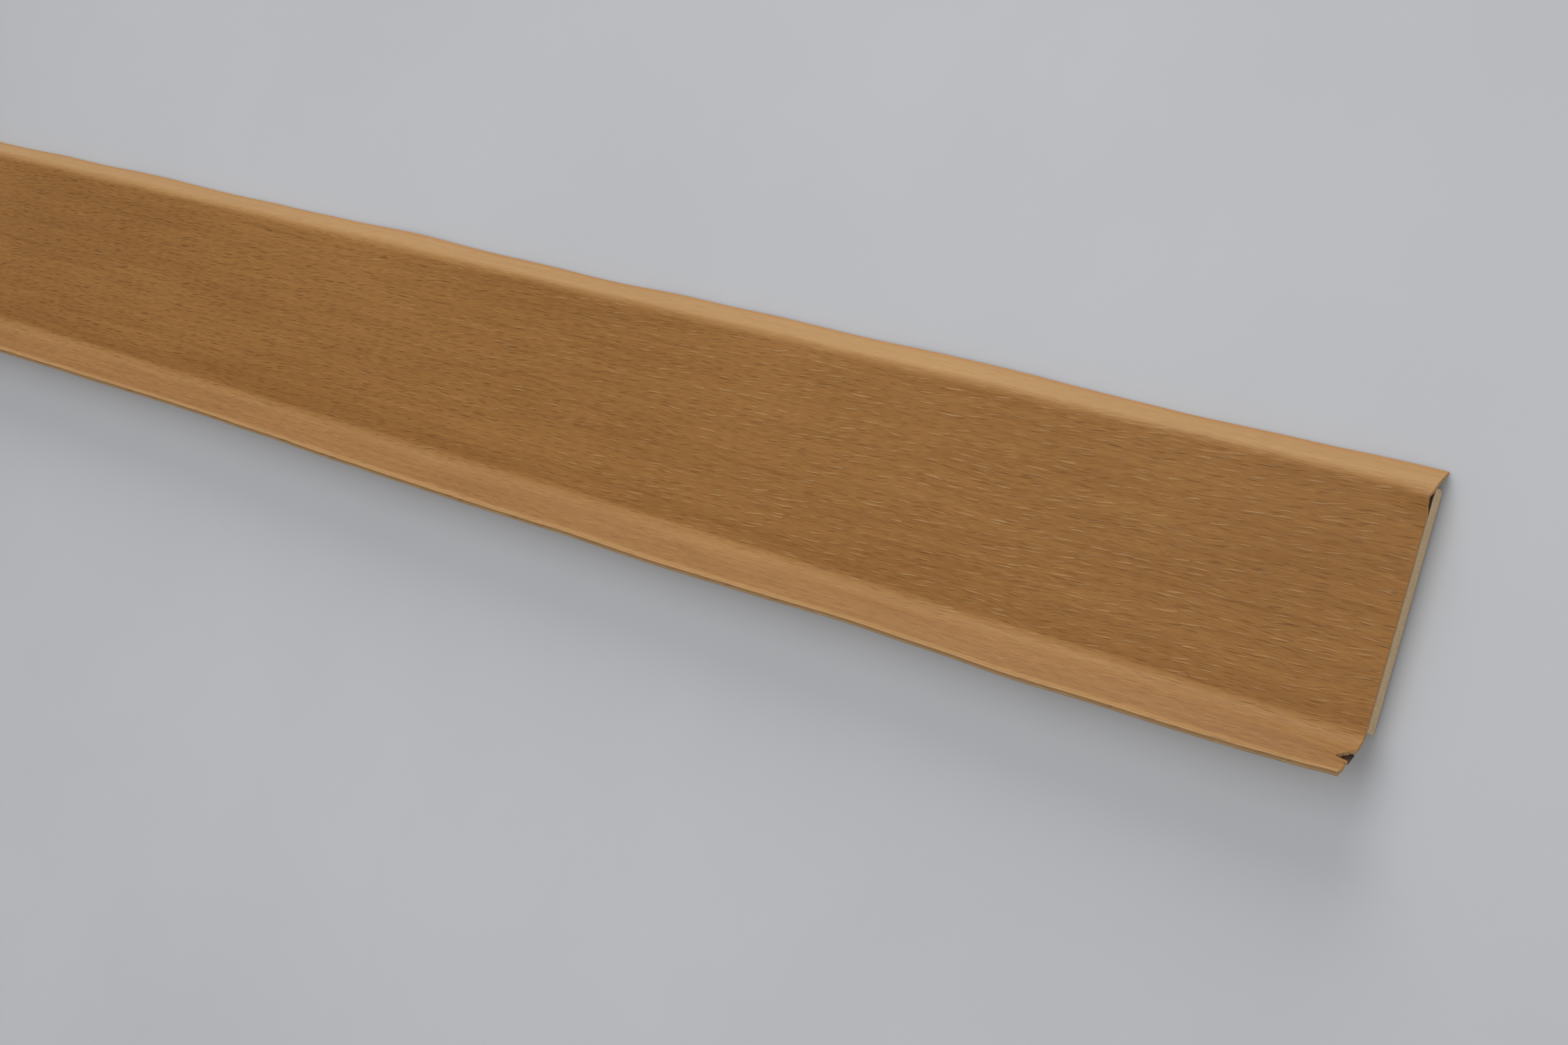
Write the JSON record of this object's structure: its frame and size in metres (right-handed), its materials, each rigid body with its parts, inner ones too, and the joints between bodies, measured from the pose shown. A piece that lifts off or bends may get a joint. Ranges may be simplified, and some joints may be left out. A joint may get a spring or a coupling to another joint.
{
  "type": "skirting board",
  "caption": "Flat skirting board with a thin beech-look cover: a soft lip leans back along its top edge and a soft foot flares forward along the bottom",
  "frame": {"origin": "Middle of the core strip's flat back face, on the wall plane at mid length and mid height of the strip", "axes": "X along the board's length with the pictured end at +X, Y up the board's height as fitted with the top lip at +Y, Z out of the front; the board lies on its back with its front up"},
  "size_m": [2.5, 0.06, 0.014],
  "materials": {
    "core": "sawn wood-filled plastic, matt tan",
    "cover": "printed and embossed beech look, satin"
  },
  "bodies": {
    "root": {"core_strip": "core", "lipped_cover": "cover"}
  },
  "joints": []
}
